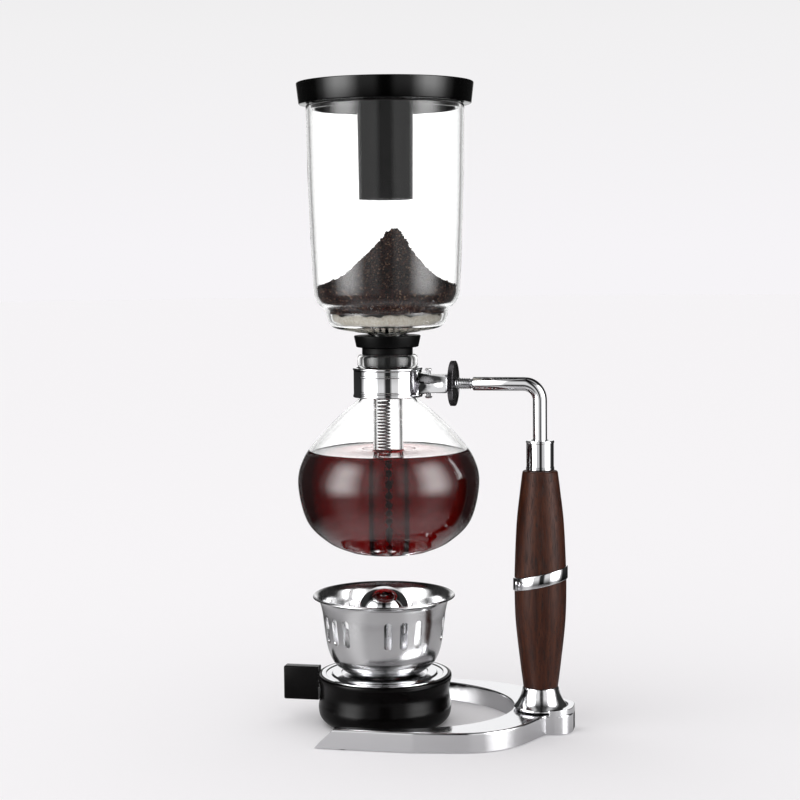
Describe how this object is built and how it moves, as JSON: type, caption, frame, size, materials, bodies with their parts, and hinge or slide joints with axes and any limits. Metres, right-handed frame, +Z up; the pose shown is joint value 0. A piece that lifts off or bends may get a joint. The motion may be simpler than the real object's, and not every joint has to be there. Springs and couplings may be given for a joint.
{
  "type": "siphon coffee maker",
  "caption": "Vacuum siphon coffee maker: lidded upper glass and stemmed filter in a round flask, clamped to a wood-handled stand over a spirit burner with windshield.",
  "frame": {"origin": "centre of the object's box on the table surface", "axes": "+Z up, +X from the glass towards the handle, y = 0 the plane through glass and handle"},
  "size_m": [0.1676, 0.125, 0.3623],
  "materials": {
    "chromed_zinc": "bright chrome plate on a zinc casting",
    "chromed_steel": "bright chrome plate",
    "satin_steel": "satin stainless steel",
    "dark_steel": "darkened knurled steel",
    "black_rubber": "matt black rubber",
    "walnut": "oiled dark walnut",
    "borosilicate_glass": "clear blown glass",
    "coffee": "clear dark red-brown brew",
    "coffee_grounds": "coarse dark grounds",
    "cotton_cloth": "undyed cotton flannel",
    "cotton_wick": "braided cotton",
    "black_plastic": "glossy moulded black plastic",
    "black_phenolic": "satin moulded black phenolic"
  },
  "bodies": {
    "stand": {"base_casting": "chromed_zinc", "base_screw": "dark_steel", "foot_pad_1": "black_rubber", "foot_pad_2": "black_rubber", "foot_pad_3": "black_rubber", "foot_pad_4": "black_rubber", "handle_foot": "chromed_zinc", "handle_grip_lower": "walnut", "handle_ring": "chromed_zinc", "handle_grip_upper": "walnut", "handle_ferrule": "chromed_zinc", "arm_rod": "chromed_steel", "clamp_band": "chromed_steel", "clamp_pin": "satin_steel"},
    "washer": {"thrust_washer": "satin_steel"},
    "nut": {"knurled_nut": "dark_steel"},
    "flask": {"flask": "borosilicate_glass", "brewed_coffee": "coffee"},
    "chamber": {"upper_chamber": "borosilicate_glass", "gasket": "black_rubber", "filter_cloth": "cotton_cloth", "filter_plate": "satin_steel", "filter_spring": "satin_steel", "bead_chain": "satin_steel", "chain_hook": "satin_steel", "coffee_grounds": "coffee_grounds"},
    "lid": {"lid": "black_plastic"},
    "burner": {"burner_pot": "black_phenolic", "burner_grip": "black_phenolic", "grip_screw": "satin_steel", "burner_top": "chromed_steel", "wick_collar": "chromed_steel", "wick": "cotton_wick"},
    "windshield": {"windshield": "satin_steel"},
    "cap": {"snuffer_cap": "chromed_steel"}
  },
  "joints": [
    {"name": "nut_travel", "type": "slide", "parent": "stand", "child": "washer", "axis": [1, 0, 0], "range_m": [0, 0.0084]},
    {"name": "nut_spin", "type": "hinge", "parent": "washer", "child": "nut", "pos_m": [0.01625, 0, 0.1947], "axis": [1, 0, 0], "range_deg": [0, 2340]},
    {"name": "flask_turn", "type": "hinge", "parent": "stand", "child": "flask", "pos_m": [-0.02125, 0, 0.15], "axis": [0, 0, 1], "range_deg": [-180, 180]},
    {"name": "chamber_lift", "type": "slide", "parent": "flask", "child": "chamber", "axis": [0, 0, 1], "range_m": [0, 0.125]},
    {"name": "lid_lift", "type": "slide", "parent": "chamber", "child": "lid", "axis": [0, 0, 1], "range_m": [0, 0.075]},
    {"name": "burner_slide", "type": "slide", "parent": "stand", "child": "burner", "axis": [-1, 0, 0], "range_m": [0, 0.14]},
    {"name": "windshield_lift", "type": "slide", "parent": "burner", "child": "windshield", "axis": [0, 0, 1], "range_m": [0, 0.02]},
    {"name": "cap_lift", "type": "slide", "parent": "burner", "child": "cap", "axis": [0, 0, 1], "range_m": [0, 0.02]}
  ],
  "couplings": [
    {"joint": "nut_travel", "follows": "nut_spin", "m_per_rad": 0.00020213}
  ]
}
